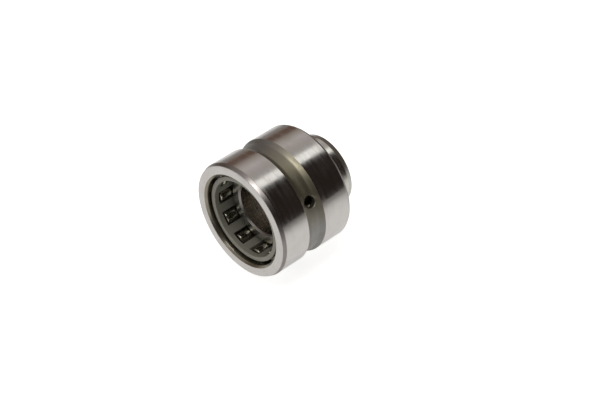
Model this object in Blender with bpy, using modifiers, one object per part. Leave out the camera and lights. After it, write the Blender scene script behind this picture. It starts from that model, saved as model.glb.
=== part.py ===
"""Needle roller bearing: outer ring with two ribs, cage, needle rollers and a loose inner ring.

Metres, +Z up. The bearing lies on its side: its axis runs along world Y, with the front towards -Y.
The origin is on the axis, halfway between the outer ring's front and the inner ring's back.
The pieces are modelled about a local +Z axis under one empty, which lays them down.
"""
import math

import bmesh
import bpy

MM = 0.001

# Boundary sizes
OUTSIDE_RADIUS = 11.0 * MM
INNER_RACE_RADIUS = 7.0 * MM
BORE_RADIUS = 5.0 * MM
RING_WIDTH = 16.0 * MM
INNER_RING_OFFSET = 4.5 * MM

# Outer ring
OUTER_RACE_RADIUS = 9.5 * MM
RIB_RADIUS = 8.75 * MM
RIB_WIDTH = 2.0 * MM
RIM_CHAMFER_RADIAL = 0.27 * MM
FRONT_CHAMFER_AXIAL = 0.75 * MM
BACK_CHAMFER_AXIAL = 0.45 * MM
RIB_CHAMFER = 0.38 * MM
GROOVE_WIDTH = 3.9 * MM
GROOVE_DEPTH = 0.45 * MM
GROOVE_SLOPE = 0.85 * MM
OIL_HOLE_RADIUS = 1.15 * MM
OIL_HOLE_ANGLE = math.radians(59.0)

# Needle rollers and cage
ROLLER_COUNT = 11
ROLLER_CLEARANCE = 0.025 * MM
ROLLER_LENGTH = 11.8 * MM
ROLLER_END_ROUND = 0.3 * MM
FIRST_ROLLER_ANGLE = math.radians(4.3)
CAGE_OUTER_RADIUS = 8.27 * MM
CAGE_INNER_RADIUS = 7.4 * MM
CAGE_RECESS = 0.85 * MM
CAGE_CHAMFER = 0.12 * MM
WINDOW_WIDTH = 2.6 * MM
WINDOW_LENGTH = 12.34 * MM

# Inner ring
RACE_CHAMFER_RADIAL = 0.3 * MM
RACE_CHAMFER_AXIAL = 1.0 * MM
BORE_CHAMFER = 0.3 * MM

# Sizes that follow
TOTAL_LENGTH = RING_WIDTH + INNER_RING_OFFSET
OUTER_FRONT = -TOTAL_LENGTH / 2.0
OUTER_BACK = OUTER_FRONT + RING_WIDTH
OUTER_MIDDLE = (OUTER_FRONT + OUTER_BACK) / 2.0
INNER_BACK = TOTAL_LENGTH / 2.0
INNER_FRONT = INNER_BACK - RING_WIDTH
PITCH_RADIUS = (OUTER_RACE_RADIUS + INNER_RACE_RADIUS) / 2.0
ROLLER_RADIUS = (OUTER_RACE_RADIUS - INNER_RACE_RADIUS) / 2.0 - ROLLER_CLEARANCE

# Facets
RING_STEPS = 6 * ROLLER_COUNT  # twice an odd number, so the outer ring rests on a flat and not on an edge
ROLLER_STEPS = 24
HOLE_STEPS = 24
ROUND_STEPS = 3
MERGE_DISTANCE = 1e-6
SHARP_ANGLE = math.radians(25.0)
HOLE_CUTTER_LENGTH = 4.0 * MM
WINDOW_CUTTER_DEPTH = 2.0 * MM


def remove_all_objects():
    for old in list(bpy.data.objects):
        bpy.data.objects.remove(old, do_unlink=True)


def new_collection(name):
    collection = bpy.data.collections.new(name)
    bpy.context.scene.collection.children.link(collection)
    return collection


def make_steel(name, colour, roughness):
    material = bpy.data.materials.new(name)
    material.use_nodes = True
    shader = material.node_tree.nodes["Principled BSDF"]
    shader.inputs["Base Color"].default_value = (*colour, 1.0)
    shader.inputs["Roughness"].default_value = roughness
    shader.inputs["Metallic"].default_value = 1.0
    return material


def add_object(name, mesh, collection, axis_empty):
    piece = bpy.data.objects.new(name, mesh)
    collection.objects.link(piece)
    piece.parent = axis_empty
    return piece


def add_cutter(name, shape, collection, axis_empty):
    """Turn a bmesh into an object that is only used to cut with."""
    mesh = bpy.data.meshes.new(name)
    shape.to_mesh(mesh)
    shape.free()
    cutter = add_object(name, mesh, collection, axis_empty)
    cutter.hide_render = True
    cutter.display_type = "WIRE"
    return cutter


def cylinder_shape(radius, length, steps):
    shape = bmesh.new()
    bmesh.ops.create_cone(shape, cap_ends=True, segments=steps, radius1=radius, radius2=radius, depth=length)
    return shape


def box_shape(size_x, size_y, size_z):
    shape = bmesh.new()
    bmesh.ops.create_cube(shape, size=1.0)
    bmesh.ops.scale(shape, vec=(size_x, size_y, size_z), verts=shape.verts)
    return shape


def cut(piece, cutter):
    modifier = piece.modifiers.new(cutter.name, "BOOLEAN")
    modifier.operation = "DIFFERENCE"
    modifier.object = cutter
    modifier.solver = "EXACT"


def apply_modifiers(piece):
    """Keep the evaluated shape as the mesh, shaded smooth except across its sharp edges."""
    bpy.context.view_layer.update()
    evaluated = piece.evaluated_get(bpy.context.evaluated_depsgraph_get())
    mesh = bpy.data.meshes.new_from_object(evaluated)
    piece.modifiers.clear()
    piece.data = mesh
    mesh.name = piece.name
    mesh.shade_smooth()
    mesh.set_sharp_from_angle(angle=SHARP_ANGLE)


def turn(name, profile, closed, steps, material, collection, axis_empty):
    """Turn a profile of (radius, height) points, which run down its outer side, about local Z."""
    points = [(radius, 0.0, height) for radius, height in profile]
    edges = [(index, index + 1) for index in range(len(points) - 1)]
    if closed:
        edges.append((len(points) - 1, 0))
    mesh = bpy.data.meshes.new(name)
    mesh.from_pydata(points, edges, [])
    mesh.materials.append(material)
    piece = add_object(name, mesh, collection, axis_empty)
    screw = piece.modifiers.new("Turn", "SCREW")
    screw.steps = steps
    screw.render_steps = steps
    screw.use_merge_vertices = True
    screw.merge_threshold = MERGE_DISTANCE
    return piece


def ring_angle(angle):
    """Turn an angle measured from world up towards world +X into one about the local Z axis."""
    return angle - math.pi / 2.0


def outer_ring_profile():
    groove_back = OUTER_MIDDLE + GROOVE_WIDTH / 2.0
    groove_front = OUTER_MIDDLE - GROOVE_WIDTH / 2.0
    groove_radius = OUTSIDE_RADIUS - GROOVE_DEPTH
    return [
        (OUTSIDE_RADIUS - RIM_CHAMFER_RADIAL, OUTER_BACK),
        (OUTSIDE_RADIUS, OUTER_BACK - BACK_CHAMFER_AXIAL),
        (OUTSIDE_RADIUS, groove_back),
        (groove_radius, groove_back - GROOVE_SLOPE),
        (groove_radius, groove_front + GROOVE_SLOPE),
        (OUTSIDE_RADIUS, groove_front),
        (OUTSIDE_RADIUS, OUTER_FRONT + FRONT_CHAMFER_AXIAL),
        (OUTSIDE_RADIUS - RIM_CHAMFER_RADIAL, OUTER_FRONT),
        (RIB_RADIUS + RIB_CHAMFER, OUTER_FRONT),
        (RIB_RADIUS, OUTER_FRONT + RIB_CHAMFER),
        (RIB_RADIUS, OUTER_FRONT + RIB_WIDTH),
        (OUTER_RACE_RADIUS, OUTER_FRONT + RIB_WIDTH),
        (OUTER_RACE_RADIUS, OUTER_BACK - RIB_WIDTH),
        (RIB_RADIUS, OUTER_BACK - RIB_WIDTH),
        (RIB_RADIUS, OUTER_BACK - RIB_CHAMFER),
        (RIB_RADIUS + RIB_CHAMFER, OUTER_BACK),
    ]


def chamfered_ring_profile(inner, outer, front, back, outer_radial, outer_axial, inner_chamfer):
    return [
        (outer - outer_radial, back),
        (outer, back - outer_axial),
        (outer, front + outer_axial),
        (outer - outer_radial, front),
        (inner + inner_chamfer, front),
        (inner, front + inner_chamfer),
        (inner, back - inner_chamfer),
        (inner + inner_chamfer, back),
    ]


def roller_profile():
    """From the back end's centre, round one corner, down the side and round the other corner."""
    half = ROLLER_LENGTH / 2.0
    rounding = []
    for step in range(ROUND_STEPS + 1):
        angle = math.pi / 2.0 * (1.0 - step / ROUND_STEPS)
        radius = ROLLER_RADIUS - ROLLER_END_ROUND * (1.0 - math.cos(angle))
        height = half - ROLLER_END_ROUND * (1.0 - math.sin(angle))
        rounding.append((radius, height))
    lower = [(radius, -height) for radius, height in reversed(rounding)]
    return [(0.0, half)] + rounding + lower + [(0.0, -half)]


def build_outer_ring(collection, cutters, axis_empty):
    steel = make_steel("outer_ring_steel", (0.62, 0.61, 0.58), 0.28)
    ring = turn("outer_ring", outer_ring_profile(), True, RING_STEPS, steel, collection, axis_empty)
    drill = cylinder_shape(OIL_HOLE_RADIUS, HOLE_CUTTER_LENGTH, HOLE_STEPS)
    hole = add_cutter("oil_hole_cutter", drill, cutters, axis_empty)
    angle = ring_angle(OIL_HOLE_ANGLE)
    wall_radius = (OUTER_RACE_RADIUS + OUTSIDE_RADIUS) / 2.0
    place_at(hole, wall_radius, angle)
    hole.rotation_euler.y = math.pi / 2.0
    cut(ring, hole)
    apply_modifiers(ring)


def build_inner_ring(collection, axis_empty):
    steel = make_steel("inner_ring_steel", (0.47, 0.46, 0.44), 0.3)
    profile = chamfered_ring_profile(
        BORE_RADIUS,
        INNER_RACE_RADIUS,
        INNER_FRONT,
        INNER_BACK,
        RACE_CHAMFER_RADIAL,
        RACE_CHAMFER_AXIAL,
        BORE_CHAMFER,
    )
    ring = turn("inner_ring", profile, True, RING_STEPS, steel, collection, axis_empty)
    apply_modifiers(ring)


def roller_angles():
    """Name of each roller and its angle about local Z."""
    angles = []
    for index in range(ROLLER_COUNT):
        angle = ring_angle(FIRST_ROLLER_ANGLE + index * math.tau / ROLLER_COUNT)
        angles.append((f"roller_{index + 1:02d}", angle))
    return angles


def place_at(piece, radius, angle):
    """Put a piece's origin at a radius and angle, halfway along the outer ring, its X facing outwards."""
    piece.location = (radius * math.cos(angle), radius * math.sin(angle), OUTER_MIDDLE)
    piece.rotation_euler = (0.0, 0.0, angle)


def build_cage(collection, cutters, axis_empty):
    steel = make_steel("cage_steel", (0.36, 0.36, 0.35), 0.42)
    profile = chamfered_ring_profile(
        CAGE_INNER_RADIUS,
        CAGE_OUTER_RADIUS,
        OUTER_FRONT + CAGE_RECESS,
        OUTER_BACK - CAGE_RECESS,
        CAGE_CHAMFER,
        CAGE_CHAMFER,
        CAGE_CHAMFER,
    )
    cage = turn("cage", profile, True, RING_STEPS, steel, collection, axis_empty)
    wall_radius = (CAGE_INNER_RADIUS + CAGE_OUTER_RADIUS) / 2.0
    for name, angle in roller_angles():
        punch = box_shape(WINDOW_CUTTER_DEPTH, WINDOW_WIDTH, WINDOW_LENGTH)
        window = add_cutter(f"{name}_window_cutter", punch, cutters, axis_empty)
        place_at(window, wall_radius, angle)
        cut(cage, window)
    apply_modifiers(cage)


def build_rollers(collection, axis_empty):
    """Every roller shares one mesh; its origin is on its own axis."""
    steel = make_steel("roller_steel", (0.55, 0.54, 0.52), 0.12)
    shared_mesh = None
    for name, angle in roller_angles():
        if shared_mesh is None:
            roller = turn(name, roller_profile(), False, ROLLER_STEPS, steel, collection, axis_empty)
            apply_modifiers(roller)
            shared_mesh = roller.data
            shared_mesh.name = "roller"
        else:
            roller = add_object(name, shared_mesh, collection, axis_empty)
        place_at(roller, PITCH_RADIUS, angle)


def main():
    remove_all_objects()
    collection = new_collection("needle_roller_bearing")
    cutters = new_collection("cutters")
    axis_empty = bpy.data.objects.new("bearing_axis", None)
    collection.objects.link(axis_empty)
    axis_empty.rotation_euler = (-math.pi / 2.0, 0.0, 0.0)
    build_outer_ring(collection, cutters, axis_empty)
    build_cage(collection, cutters, axis_empty)
    build_rollers(collection, axis_empty)
    build_inner_ring(collection, axis_empty)


main()
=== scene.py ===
import math

import bmesh
import bpy
from mathutils import Matrix, Vector


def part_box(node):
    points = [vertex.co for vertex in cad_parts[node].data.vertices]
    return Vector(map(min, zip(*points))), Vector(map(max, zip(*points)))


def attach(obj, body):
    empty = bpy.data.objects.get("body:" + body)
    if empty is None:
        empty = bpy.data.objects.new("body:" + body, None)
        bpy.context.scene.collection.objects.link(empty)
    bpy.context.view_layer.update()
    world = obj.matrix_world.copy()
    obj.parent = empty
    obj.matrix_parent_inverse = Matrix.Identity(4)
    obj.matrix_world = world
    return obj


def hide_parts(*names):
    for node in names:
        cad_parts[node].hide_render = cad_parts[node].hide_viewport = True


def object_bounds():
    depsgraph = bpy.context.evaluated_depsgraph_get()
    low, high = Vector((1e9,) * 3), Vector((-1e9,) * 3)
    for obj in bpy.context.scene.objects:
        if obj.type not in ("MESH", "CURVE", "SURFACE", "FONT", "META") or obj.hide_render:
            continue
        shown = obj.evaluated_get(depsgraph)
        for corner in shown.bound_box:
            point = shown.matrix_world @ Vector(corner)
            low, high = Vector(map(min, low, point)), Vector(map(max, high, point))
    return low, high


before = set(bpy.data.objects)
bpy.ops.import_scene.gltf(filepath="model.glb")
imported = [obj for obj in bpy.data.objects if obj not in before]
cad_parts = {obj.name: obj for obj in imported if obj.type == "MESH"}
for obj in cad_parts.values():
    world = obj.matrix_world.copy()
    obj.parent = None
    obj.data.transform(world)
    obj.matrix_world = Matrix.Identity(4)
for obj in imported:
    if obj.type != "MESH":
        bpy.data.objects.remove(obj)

CAD_LOW, CAD_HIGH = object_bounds()
MM = 0.001

# Places read from the frame. The bearing's axis is world Y and its front faces -Y.
OUTER_LOW, OUTER_HIGH = (Vector(corner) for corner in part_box("outer_ring"))
INNER_LOW, INNER_HIGH = (Vector(corner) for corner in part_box("inner_ring"))
CAGE_LOW, CAGE_HIGH = (Vector(corner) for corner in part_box("cage"))
# The solids are faceted, so the smaller half width keeps the round rings inside them.
OUTSIDE_RADIUS = min(OUTER_HIGH.x, OUTER_HIGH.z)
INNER_RACE_RADIUS = min(INNER_HIGH.x, INNER_HIGH.z)
OUTER_FRONT, OUTER_BACK = OUTER_LOW.y, OUTER_HIGH.y
INNER_FRONT, INNER_BACK = INNER_LOW.y, INNER_HIGH.y
CAGE_FRONT, CAGE_BACK = CAGE_LOW.y, CAGE_HIGH.y
OUTER_MIDDLE = (OUTER_FRONT + OUTER_BACK) / 2.0
FLOOR_HEIGHT = CAD_LOW.z
ROLLERS = sorted(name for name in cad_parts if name.startswith("roller_"))

# Outer ring
OUTER_RACE_RADIUS = 9.5 * MM
RIB_RADIUS = 8.75 * MM
RIB_WIDTH = 2.0 * MM
RIM_CHAMFER_RADIAL = 0.27 * MM
FRONT_CHAMFER_AXIAL = 0.75 * MM
BACK_CHAMFER_AXIAL = 0.45 * MM
RIB_CHAMFER = 0.38 * MM
GROOVE_WIDTH = 3.9 * MM
GROOVE_DEPTH = 0.45 * MM
GROOVE_SLOPE = 0.85 * MM
OIL_HOLE_RADIUS = 1.15 * MM
OIL_HOLE_ANGLE = math.radians(59.0)
OIL_HOLE_BREAK = 0.1 * MM
DRILL_MARGIN = 1.0 * MM

# Cage and needle rollers
CAGE_OUTER_RADIUS = 8.27 * MM
CAGE_INNER_RADIUS = 7.4 * MM
WINDOW_WIDTH = 2.6 * MM
WINDOW_LENGTH = 12.34 * MM
WINDOW_CORNER = 0.12 * MM
WINDOW_CUTTER_DEPTH = 2.0 * MM
CAGE_EDGE = 0.14 * MM
ROLLER_END_ROUND = 0.28 * MM

# Inner ring
BORE_RADIUS = 5.0 * MM
RACE_CHAMFER_RADIAL = 0.3 * MM
RACE_CHAMFER_AXIAL = 1.0 * MM
BORE_CHAMFER = 0.3 * MM

# Small roundings where two surfaces meet
SHARP = 0.03 * MM
SOFT = 0.12 * MM
EASED = 0.2 * MM
FILLET = 1.0 * MM
ARC_STEPS = 4
RING_SEGMENTS = 264
ROLLER_SEGMENTS = 72
HOLE_SEGMENTS = 48
SMOOTH_ANGLE = math.radians(32.0)
WELD_DISTANCE = 1e-7
CORNER_SHARE = 0.45
FLATTEST_CORNER = math.radians(89.0)

# Grain and clouds of every steel
CLOUD_SIZE = 2.4 * MM
GRAIN_SIZE = 0.16 * MM
BAND_SPACING = 7.0
WORN_DARKENING = 0.62
WORN_SHARE = 0.16

# Painted shade tint in the groove: an olive colour strongest on the side that reflects the dark part of the
# room, fading either way
SHADE_TINT_ANGLE = math.radians(36.0)
SHADE_TINT_EDGE = 0.62
SHADE_TINT_SHARE = 0.65
SHADE_TINT_COLOUR = (0.245, 0.215, 0.12, 1.0)

# Studio
FLOOR_SIZE = 3.0
FLOOR_COLOUR = (0.55, 0.55, 0.545, 1.0)
FLOOR_GLOW_COLOUR = (1.0, 1.0, 0.99, 1.0)
FLOOR_GLOW = 0.6
FLOOR_GLOW_SEEN = 0.86
BACKDROP_COLOUR = (0.97, 0.97, 0.97, 1.0)
REAR_ROOM_COLOUR = (0.10, 0.08, 0.065, 1.0)
REAR_START = 0.62
REAR_END = 0.84
KEY_LIGHT_PLACE = (50.0 * MM, -110.0 * MM, 500.0 * MM)
KEY_LIGHT_WIDTH = 260.0 * MM
KEY_LIGHT_DEPTH = 240.0 * MM
KEY_LIGHT_WATTS = 0.98

# What the steel reflects, by angle about the bearing's axis: degrees from straight up towards +X, and colour
ROOM = [
    (-180.0, (0.30, 0.29, 0.28)),
    (-92.0, (0.40, 0.34, 0.31)),
    (-80.0, (0.17, 0.115, 0.09)),
    (-68.0, (0.17, 0.11, 0.085)),
    (-58.0, (0.42, 0.37, 0.33)),
    (-40.0, (0.68, 0.64, 0.62)),
    (-23.0, (0.53, 0.49, 0.47)),
    (-10.0, (0.55, 0.535, 0.51)),
    (-4.0, (1.5, 1.51, 1.47)),
    (7.0, (1.5, 1.51, 1.47)),
    (12.0, (0.16, 0.16, 0.156)),
    (20.0, (0.028, 0.021, 0.018)),
    (80.0, (0.028, 0.021, 0.018)),
    (94.0, (0.06, 0.055, 0.05)),
    (180.0, (0.30, 0.29, 0.28)),
]
POOL_START = 35.0 * MM
POOL_END = 130.0 * MM

# Camera: its direction round the part, and where the front face's centre sits in the picture
CAMERA_AZIMUTH = math.radians(46.27)
CAMERA_ELEVATION = math.radians(41.52)
CAMERA_LENS_MM = 120.0
CAMERA_SENSOR_MM = 36.0
CAMERA_DISTANCE = 343.7 * MM
CAMERA_RIGHT_OF_FACE = 10.35 * MM
CAMERA_ABOVE_FACE = 3.74 * MM
CAMERA_CLIP_START = 0.01
CAMERA_CLIP_END = 20.0


# ---------------------------------------------------------------- meshes

def round_corner(before, corner, after, radius):
    """Points of the arc that replaces a corner of a profile, made smaller where the sides are short."""
    to_before = before - corner
    to_after = after - corner
    half_angle = to_before.angle(to_after) / 2.0
    reach = radius / math.tan(half_angle)
    limit = CORNER_SHARE * min(to_before.length, to_after.length)
    if reach > limit:
        radius *= limit / reach
    if radius <= 0.0 or half_angle > FLATTEST_CORNER:
        return [corner]
    bisector = (to_before.normalized() + to_after.normalized()).normalized()
    centre = corner + bisector * (radius / math.sin(half_angle))
    reach = radius / math.tan(half_angle)
    start = (corner + to_before.normalized() * reach - centre).normalized()
    end = (corner + to_after.normalized() * reach - centre).normalized()
    return [centre + start.slerp(end, step / ARC_STEPS) * radius for step in range(ARC_STEPS + 1)]


def round_profile(corners, closed):
    """Corners are (radius, y, rounding, zone); the zone names the surface that starts there."""
    points, zones = [], []
    flat = [Vector((radius, y)) for radius, y, _, _ in corners]
    for index, (_, _, rounding, zone) in enumerate(corners):
        at_end = not closed and index in (0, len(corners) - 1)
        if at_end or rounding == 0.0:
            arc = [flat[index]]
        else:
            arc = round_corner(flat[index - 1], flat[index], flat[(index + 1) % len(flat)], rounding)
        points += arc
        zones += [zone] * len(arc)
    return points, zones


def link(name, mesh):
    piece = bpy.data.objects.new(name, mesh)
    bpy.context.scene.collection.objects.link(piece)
    return piece


def smooth(mesh):
    mesh.shade_smooth()
    mesh.set_sharp_from_angle(angle=SMOOTH_ANGLE)


def lathe(name, corners, materials, segments, closed=True):
    """Turn a profile about the Y axis. Each zone of the profile gets its own material."""
    points, zones = round_profile(corners, closed)
    slots = sorted(set(zones), key=zones.index)
    count = len(points)
    spans = count if closed else count - 1
    verts, faces, face_slots = [], [], []
    for step in range(segments):
        angle = math.tau * step / segments
        verts += [(point.x * math.sin(angle), point.y, point.x * math.cos(angle)) for point in points]
    for step in range(segments):
        here = step * count
        there = (step + 1) % segments * count
        for index in range(spans):
            after = (index + 1) % count
            faces.append((here + index, here + after, there + after, there + index))
            face_slots.append(slots.index(zones[index]))
    mesh = bpy.data.meshes.new(name)
    mesh.from_pydata(verts, [], faces)
    mesh.polygons.foreach_set("material_index", face_slots)
    for slot in slots:
        mesh.materials.append(materials[slot])
    shape = bmesh.new()
    shape.from_mesh(mesh)
    bmesh.ops.remove_doubles(shape, verts=shape.verts, dist=WELD_DISTANCE)
    bmesh.ops.dissolve_degenerate(shape, edges=shape.edges, dist=WELD_DISTANCE)
    bmesh.ops.recalc_face_normals(shape, faces=shape.faces)
    shape.to_mesh(mesh)
    shape.free()
    smooth(mesh)
    return link(name, mesh)


def cut_away(piece, cutter):
    """Cut a piece with another and remove the cutter."""
    modifier = piece.modifiers.new("Cut", "BOOLEAN")
    modifier.operation = "DIFFERENCE"
    modifier.solver = "EXACT"
    modifier.material_mode = "TRANSFER"
    modifier.object = cutter
    bpy.context.view_layer.update()
    mesh = bpy.data.meshes.new_from_object(piece.evaluated_get(bpy.context.evaluated_depsgraph_get()))
    piece.modifiers.clear()
    piece.data = mesh
    bpy.data.objects.remove(cutter, do_unlink=True)
    smooth(mesh)


def radial_frame(angle, radius, y):
    """A frame at a place round the axis: local X points outwards and local Z along the axis."""
    outward = Vector((math.sin(angle), 0.0, math.cos(angle)))
    along = Vector((0.0, 1.0, 0.0))
    turn = Matrix((outward, along.cross(outward), along)).transposed().to_4x4()
    turn.translation = outward * radius + along * y
    return turn


# ---------------------------------------------------------------- materials

def add_node(tree, kind, inputs=None, **settings):
    """Add a shader node; an input is given a value or another node's output."""
    made = tree.nodes.new("ShaderNode" + kind)
    for key, value in settings.items():
        setattr(made, key, value)
    for socket, value in (inputs or {}).items():
        if isinstance(value, bpy.types.NodeSocket):
            tree.links.new(value, made.inputs[socket])
        else:
            made.inputs[socket].default_value = value
    return made


def calculate(tree, operation, first, second):
    return add_node(tree, "Math", {0: first, 1: second}, operation=operation).outputs[0]


def added(tree, first, second):
    return add_node(tree, "VectorMath", {0: first, 1: second}, operation="ADD").outputs[0]


def scaled(tree, vector, factor):
    return add_node(tree, "VectorMath", {0: vector, "Scale": factor}, operation="SCALE").outputs[0]


def flattened(tree, parts):
    """Separated coordinates without the part along the axis."""
    return add_node(tree, "CombineXYZ", {0: parts.outputs[0], 2: parts.outputs[2]}).outputs[0]


def noise(tree, vector, detail=2.0, roughness=0.55):
    made = add_node(
        tree,
        "TexNoise",
        {"Vector": vector, "Scale": 1.0, "Detail": detail, "Roughness": roughness},
        noise_dimensions="3D",
    )
    return made.outputs["Fac"]


def map_range(tree, value, low, high, new_low, new_high):
    made = add_node(
        tree,
        "MapRange",
        {"Value": value, "From Min": low, "From Max": high, "To Min": new_low, "To Max": new_high},
    )
    return made.outputs["Result"]


def mix_colour(tree, factor, first, second):
    made = add_node(tree, "Mix", data_type="RGBA")
    for socket, value in ((0, factor), (6, first), (7, second)):
        if isinstance(value, bpy.types.NodeSocket):
            tree.links.new(value, made.inputs[socket])
        else:
            made.inputs[socket].default_value = value
    return made.outputs[2]


def colour(red, green, blue):
    return (red, green, blue, 1.0)


def marks_along_turning(tree, place, spacing, length):
    """Noise stretched round the Y axis: rings left by grinding or turning."""
    parts = add_node(tree, "SeparateXYZ", {0: place})
    flat = flattened(tree, parts)
    radius = add_node(tree, "VectorMath", {0: flat}, operation="LENGTH").outputs["Value"]
    around = add_node(tree, "VectorMath", {0: flat}, operation="NORMALIZE").outputs[0]
    across = calculate(
        tree,
        "ADD",
        calculate(tree, "MULTIPLY", radius, 1.3 / spacing),
        calculate(tree, "MULTIPLY", parts.outputs[1], 0.8 / spacing),
    )
    lifted = add_node(tree, "CombineXYZ", {1: across}).outputs[0]
    stretched = scaled(tree, around, length)
    return noise(tree, added(tree, stretched, lifted))


def painted_shade_tint(tree, place, tinted):
    """Painted shade: a yellowish tint strongest at one side of the axis and fading either way, standing in
    for how the groove looks where it reflects the dark part of the room.
    """
    parts = add_node(tree, "SeparateXYZ", {0: place})
    flat = flattened(tree, parts)
    around = add_node(tree, "VectorMath", {0: flat}, operation="NORMALIZE").outputs[0]
    strongest = (math.sin(SHADE_TINT_ANGLE), 0.0, math.cos(SHADE_TINT_ANGLE))
    compare = add_node(tree, "VectorMath", {0: around, 1: strongest}, operation="DOT_PRODUCT")
    share = map_range(tree, compare.outputs["Value"], SHADE_TINT_EDGE, 1.0, 0.0, SHADE_TINT_SHARE)
    return mix_colour(tree, share, tinted, SHADE_TINT_COLOUR)


def steel(
    name,
    base,
    stain,
    roughness,
    mark_spacing,
    mark_height,
    metallic=1.0,
    stain_share=0.35,
    spread=0.06,
    shade_tint=False,
):
    """Machined steel: rings from the tool, a cloudy oil film, fine grain and roughness that varies; with
    shade_tint, a tint painted on one side as shade.
    """
    material = bpy.data.materials.new(name)
    material.use_nodes = True
    tree = material.node_tree
    shader = tree.nodes["Principled BSDF"]
    shader.inputs["Metallic"].default_value = metallic
    shift = add_node(tree, "ObjectInfo").outputs["Random"]
    place = add_node(tree, "TexCoord").outputs["Object"]
    offset = add_node(tree, "CombineXYZ", {0: shift, 1: shift, 2: shift}).outputs[0]

    marks = marks_along_turning(tree, place, mark_spacing, 2.0)
    bands = marks_along_turning(tree, place, mark_spacing * BAND_SPACING, 1.2)
    cloud_place = scaled(tree, place, 1.0 / CLOUD_SIZE)
    clouds = noise(tree, added(tree, cloud_place, offset), 4.0, 0.6)
    grain_place = scaled(tree, place, 1.0 / GRAIN_SIZE)
    grain = noise(tree, added(tree, grain_place, offset), 2.0, 0.6)

    share = map_range(tree, clouds, 0.42, 0.72, 0.0, stain_share)
    tinted = mix_colour(tree, share, colour(*base), colour(*stain))
    # Painted shade: a tint, strongest on one side of the axis, that stands in for the dark side of the
    # groove.
    if shade_tint:
        tinted = painted_shade_tint(tree, place, tinted)
    fine = map_range(tree, calculate(tree, "ADD", grain, marks), 0.7, 1.3, 0.0, WORN_SHARE)
    darker = colour(*(channel * WORN_DARKENING for channel in base))
    tree.links.new(mix_colour(tree, fine, tinted, darker), shader.inputs["Base Color"])

    worn = calculate(tree, "ADD", map_range(tree, bands, 0.3, 0.7, -spread, spread), roughness)
    cloudy = map_range(tree, clouds, 0.35, 0.75, -spread * 0.6, spread)
    tree.links.new(calculate(tree, "ADD", worn, cloudy), shader.inputs["Roughness"])

    height = calculate(tree, "ADD", marks, calculate(tree, "MULTIPLY", grain, 0.5))
    bump = add_node(tree, "Bump", {"Height": height, "Distance": mark_height, "Strength": 1.0})
    tree.links.new(bump.outputs[0], shader.inputs["Normal"])
    return material


def make_materials():
    """One finish for each kind of surface. Mark spacings and heights are those of the tool that made it."""
    return {
        "ground": steel(
            "ground_steel",
            (0.54, 0.52, 0.505),
            (0.45, 0.41, 0.37),
            0.17,
            0.06 * MM,
            0.0008 * MM,
        ),
        "face": steel(
            "ground_face",
            (0.53, 0.507, 0.49),
            (0.45, 0.425, 0.40),
            0.27,
            0.05 * MM,
            0.0015 * MM,
        ),
        "chamfer": steel(
            "chamfer_steel",
            (0.25, 0.23, 0.22),
            (0.17, 0.145, 0.13),
            0.34,
            0.08 * MM,
            0.002 * MM,
        ),
        "turned": steel(
            "turned_groove",
            (0.245, 0.238, 0.225),
            (0.19, 0.178, 0.15),
            0.48,
            0.1 * MM,
            0.006 * MM,
            # The groove's colour carries a tint painted on one side as shade.
            shade_tint=True,
        ),
        "rib": steel(
            "turned_rib",
            (0.26, 0.24, 0.193),
            (0.172, 0.15, 0.107),
            0.30,
            0.09 * MM,
            0.003 * MM,
        ),
        "race": steel(
            "lapped_raceway",
            (0.56, 0.545, 0.51),
            (0.42, 0.39, 0.33),
            0.21,
            0.05 * MM,
            0.0008 * MM,
        ),
        "inner": steel(
            "inner_ring_face",
            (0.46, 0.45, 0.43),
            (0.34, 0.30, 0.25),
            0.28,
            0.05 * MM,
            0.0015 * MM,
        ),
        "bore": steel(
            "ground_bore",
            (0.45, 0.42, 0.375),
            (0.395, 0.355, 0.305),
            0.27,
            0.06 * MM,
            0.0015 * MM,
            stain_share=0.3,
            spread=0.03,
        ),
        "cage": steel(
            "phosphated_cage",
            (0.243, 0.235, 0.195),
            (0.19, 0.183, 0.142),
            0.46,
            0.12 * MM,
            0.003 * MM,
            metallic=0.25,
        ),
        "roller": steel(
            "needle_steel",
            (0.34, 0.335, 0.275),
            (0.27, 0.26, 0.19),
            0.22,
            0.04 * MM,
            0.0005 * MM,
        ),
    }


# ---------------------------------------------------------------- pieces

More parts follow.
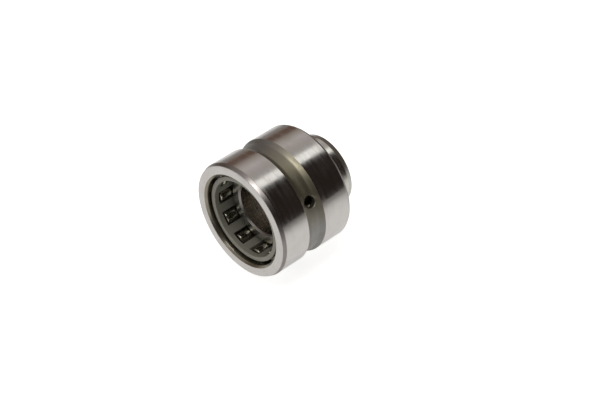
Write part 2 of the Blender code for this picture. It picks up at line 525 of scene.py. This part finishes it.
def make_outer_ring(materials):
    groove_back = OUTER_MIDDLE + GROOVE_WIDTH / 2.0
    groove_front = OUTER_MIDDLE - GROOVE_WIDTH / 2.0
    groove_radius = OUTSIDE_RADIUS - GROOVE_DEPTH
    corners = [
        (OUTSIDE_RADIUS - RIM_CHAMFER_RADIAL, OUTER_BACK, SOFT, "chamfer"),
        (OUTSIDE_RADIUS, OUTER_BACK - BACK_CHAMFER_AXIAL, SOFT, "ground"),
        (OUTSIDE_RADIUS, groove_back, SOFT, "turned"),
        (groove_radius, groove_back - GROOVE_SLOPE, FILLET, "turned"),
        (groove_radius, groove_front + GROOVE_SLOPE, FILLET, "turned"),
        (OUTSIDE_RADIUS, groove_front, SOFT, "ground"),
        (OUTSIDE_RADIUS, OUTER_FRONT + FRONT_CHAMFER_AXIAL, EASED, "chamfer"),
        (OUTSIDE_RADIUS - RIM_CHAMFER_RADIAL, OUTER_FRONT, SOFT, "face"),
        (RIB_RADIUS + RIB_CHAMFER, OUTER_FRONT, SHARP, "rib"),
        (RIB_RADIUS, OUTER_FRONT + RIB_CHAMFER, SOFT, "rib"),
        (RIB_RADIUS, OUTER_FRONT + RIB_WIDTH, SHARP, "rib"),
        (OUTER_RACE_RADIUS, OUTER_FRONT + RIB_WIDTH, SHARP, "race"),
        (OUTER_RACE_RADIUS, OUTER_BACK - RIB_WIDTH, SHARP, "rib"),
        (RIB_RADIUS, OUTER_BACK - RIB_WIDTH, SHARP, "rib"),
        (RIB_RADIUS, OUTER_BACK - RIB_CHAMFER, SOFT, "rib"),
        (RIB_RADIUS + RIB_CHAMFER, OUTER_BACK, SHARP, "face"),
    ]
    ring = lathe("outer_ring_fine", corners, materials, RING_SEGMENTS)
    cut_away(ring, make_drill(materials["turned"], groove_radius))
    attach(ring, "outer_ring")
    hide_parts("outer_ring")


def make_drill(material, surface_radius):
    """The oil hole with a small break at its mouth, as one turned cutter pointing outwards."""
    beyond = OUTSIDE_RADIUS + DRILL_MARGIN
    within = OUTER_RACE_RADIUS - DRILL_MARGIN
    break_start = surface_radius - OIL_HOLE_BREAK
    flare = OIL_HOLE_RADIUS + beyond - break_start
    shape = bmesh.new()
    wide = bmesh.ops.create_cone(
        shape,
        cap_ends=True,
        segments=HOLE_SEGMENTS,
        radius1=OIL_HOLE_RADIUS,
        radius2=OIL_HOLE_RADIUS,
        depth=beyond - within,
    )
    bmesh.ops.translate(shape, verts=wide["verts"], vec=(0.0, 0.0, (beyond + within) / 2.0))
    top = [vert for vert in shape.verts if abs(vert.co.z - beyond) < WELD_DISTANCE]
    bmesh.ops.bisect_plane(
        shape,
        geom=shape.verts[:] + shape.edges[:] + shape.faces[:],
        plane_co=(0.0, 0.0, break_start),
        plane_no=(0.0, 0.0, 1.0),
    )
    for vert in top:
        vert.co.x *= flare / OIL_HOLE_RADIUS
        vert.co.y *= flare / OIL_HOLE_RADIUS
    bmesh.ops.recalc_face_normals(shape, faces=shape.faces)
    outward = Vector((math.sin(OIL_HOLE_ANGLE), 0.0, math.cos(OIL_HOLE_ANGLE)))
    turn = outward.to_track_quat("Z", "Y").to_matrix().to_4x4()
    turn.translation = Vector((0.0, OUTER_MIDDLE, 0.0))
    shape.transform(turn)
    mesh = bpy.data.meshes.new("drill")
    shape.to_mesh(mesh)
    shape.free()
    mesh.materials.append(material)
    return link("drill", mesh)


def make_inner_ring(materials):
    corners = [
        (INNER_RACE_RADIUS - RACE_CHAMFER_RADIAL, INNER_BACK, SHARP, "inner"),
        (INNER_RACE_RADIUS, INNER_BACK - RACE_CHAMFER_AXIAL, SOFT, "race"),
        (INNER_RACE_RADIUS, INNER_FRONT + RACE_CHAMFER_AXIAL, SOFT, "inner"),
        (INNER_RACE_RADIUS - RACE_CHAMFER_RADIAL, INNER_FRONT, SHARP, "inner"),
        (BORE_RADIUS + BORE_CHAMFER, INNER_FRONT, SHARP, "chamfer"),
        (BORE_RADIUS, INNER_FRONT + BORE_CHAMFER, SHARP, "bore"),
        (BORE_RADIUS, INNER_BACK - BORE_CHAMFER, SHARP, "inner"),
        (BORE_RADIUS + BORE_CHAMFER, INNER_BACK, SHARP, "inner"),
    ]
    ring = lathe("inner_ring_fine", corners, materials, RING_SEGMENTS)
    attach(ring, "inner_ring")
    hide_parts("inner_ring")


def make_window_cutters(material):
    """One rounded box for each roller, as a single object."""
    shape = bmesh.new()
    middle_radius = (CAGE_INNER_RADIUS + CAGE_OUTER_RADIUS) / 2.0
    for name in ROLLERS:
        low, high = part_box(name)
        angle = math.atan2(low[0] + high[0], low[2] + high[2])
        made = bmesh.ops.create_cube(shape, size=1.0)
        size = (WINDOW_CUTTER_DEPTH, WINDOW_WIDTH, WINDOW_LENGTH)
        bmesh.ops.scale(shape, vec=size, verts=made["verts"])
        upright = set()
        for vert in made["verts"]:
            for edge in vert.link_edges:
                direction = edge.verts[0].co - edge.verts[1].co
                if abs(direction.x) > max(abs(direction.y), abs(direction.z)):
                    upright.add(edge)
        rounded = bmesh.ops.bevel(
            shape,
            geom=list(upright),
            offset=WINDOW_CORNER,
            segments=ARC_STEPS,
            affect="EDGES",
            profile=0.5,
        )
        verts = {vert for face in rounded["faces"] for vert in face.verts}
        bmesh.ops.transform(shape, matrix=radial_frame(angle, middle_radius, OUTER_MIDDLE), verts=list(verts))
    mesh = bpy.data.meshes.new("window_cutters")
    shape.to_mesh(mesh)
    shape.free()
    mesh.materials.append(material)
    return link("window_cutters", mesh)


def make_cage(materials):
    corners = [
        (CAGE_OUTER_RADIUS, CAGE_BACK, CAGE_EDGE, "cage"),
        (CAGE_OUTER_RADIUS, CAGE_FRONT, CAGE_EDGE, "cage"),
        (CAGE_INNER_RADIUS, CAGE_FRONT, CAGE_EDGE, "cage"),
        (CAGE_INNER_RADIUS, CAGE_BACK, CAGE_EDGE, "cage"),
    ]
    cage = lathe("cage_fine", corners, materials, RING_SEGMENTS)
    cut_away(cage, make_window_cutters(materials["cage"]))
    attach(cage, "cage")
    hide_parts("cage")


def make_rollers(materials):
    for name in ROLLERS:
        low, high = (Vector(corner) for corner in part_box(name))
        centre = (low + high) / 2.0
        half = (high.y - low.y) / 2.0
        radius = (high.x - low.x) / 2.0
        corners = [
            (0.0, half, 0.0, "roller"),
            (radius, half, ROLLER_END_ROUND, "roller"),
            (radius, -half, ROLLER_END_ROUND, "roller"),
            (0.0, -half, 0.0, "roller"),
        ]
        roller = lathe(name + "_fine", corners, materials, ROLLER_SEGMENTS, closed=False)
        roller.location = centre
        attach(roller, name)
        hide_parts(name)


# ---------------------------------------------------------------- studio

def make_camera():
    toward = Vector((
        math.sin(CAMERA_AZIMUTH) * math.cos(CAMERA_ELEVATION),
        -math.cos(CAMERA_AZIMUTH) * math.cos(CAMERA_ELEVATION),
        math.sin(CAMERA_ELEVATION),
    ))
    right = Vector((math.cos(CAMERA_AZIMUTH), math.sin(CAMERA_AZIMUTH), 0.0))
    above = toward.cross(right)
    face_centre = Vector((0.0, OUTER_FRONT, 0.0))
    place = Matrix((right, above, toward)).transposed().to_4x4()
    aim = face_centre + right * CAMERA_RIGHT_OF_FACE + above * CAMERA_ABOVE_FACE
    place.translation = aim + toward * CAMERA_DISTANCE
    data = bpy.data.cameras.new("camera")
    data.lens = CAMERA_LENS_MM
    data.sensor_width = CAMERA_SENSOR_MM
    data.clip_start = CAMERA_CLIP_START
    data.clip_end = CAMERA_CLIP_END
    camera = link("camera", data)
    camera.matrix_world = place
    bpy.context.scene.camera = camera


def make_floor():
    """A pale light table: it glows softly, so that the undersides aren't black."""
    shape = bmesh.new()
    bmesh.ops.create_grid(shape, x_segments=1, y_segments=1, size=FLOOR_SIZE)
    bmesh.ops.translate(shape, verts=shape.verts, vec=(0.0, 0.0, FLOOR_HEIGHT))
    mesh = bpy.data.meshes.new("floor")
    shape.to_mesh(mesh)
    shape.free()
    material = bpy.data.materials.new("floor_white")
    material.use_nodes = True
    tree = material.node_tree
    shader = tree.nodes["Principled BSDF"]
    shader.inputs["Base Color"].default_value = FLOOR_COLOUR
    shader.inputs["Roughness"].default_value = 0.8
    shader.inputs["Specular IOR Level"].default_value = 0.1
    shader.inputs["Emission Color"].default_value = FLOOR_GLOW_COLOUR
    place = add_node(tree, "TexCoord").outputs["Object"]
    distance = add_node(tree, "VectorMath", {0: place}, operation="LENGTH").outputs["Value"]
    pool = map_range(tree, distance, POOL_START, POOL_END, FLOOR_GLOW, 0.0)
    is_camera = add_node(tree, "LightPath").outputs["Is Camera Ray"]
    glow = add_node(tree, "Mix", {0: is_camera, 2: pool, 3: FLOOR_GLOW_SEEN}, data_type="FLOAT")
    tree.links.new(glow.outputs[0], shader.inputs["Emission Strength"])
    mesh.materials.append(material)
    link("floor", mesh)


def make_key_light():
    """A soft rectangular light that points straight down."""
    data = bpy.data.lights.new("top_front", "AREA")
    data.shape = "RECTANGLE"
    data.size = KEY_LIGHT_WIDTH
    data.size_y = KEY_LIGHT_DEPTH
    data.energy = KEY_LIGHT_WATTS
    light = link("top_front", data)
    light.location = KEY_LIGHT_PLACE
    light.visible_camera = False


def make_world():
    """A pale left side, a bright strip overhead and a dark right side to reflect, and a plain backdrop."""
    world = bpy.data.worlds.new("studio")
    bpy.context.scene.world = world
    world.use_nodes = True
    tree = world.node_tree
    direction = add_node(tree, "SeparateXYZ", {0: add_node(tree, "TexCoord").outputs["Generated"]})
    angle = add_node(
        tree, "Math", {0: direction.outputs[0], 1: direction.outputs[2]}, operation="ARCTAN2"
    ).outputs[0]
    turn = map_range(tree, angle, -math.pi, math.pi, 0.0, 1.0)
    ramp = add_node(tree, "ValToRGB", {0: turn})
    elements = ramp.color_ramp.elements
    while len(elements) < len(ROOM):
        elements.new(0.5)
    for element, (degrees, shade) in zip(elements, ROOM):
        element.position = (degrees + 180.0) / 360.0
        element.color = colour(*shade)
    rear = map_range(tree, direction.outputs[1], REAR_START, REAR_END, 0.0, 1.0)
    room = mix_colour(tree, rear, ramp.outputs[0], REAR_ROOM_COLOUR)
    is_camera = add_node(tree, "LightPath").outputs["Is Camera Ray"]
    seen = mix_colour(tree, is_camera, room, BACKDROP_COLOUR)
    tree.links.new(seen, tree.nodes["Background"].inputs["Color"])


def main():
    materials = make_materials()
    make_outer_ring(materials)
    make_inner_ring(materials)
    make_cage(materials)
    make_rollers(materials)
    make_camera()
    make_floor()
    make_world()
    make_key_light()
    bpy.context.scene.view_settings.view_transform = "Standard"


main()
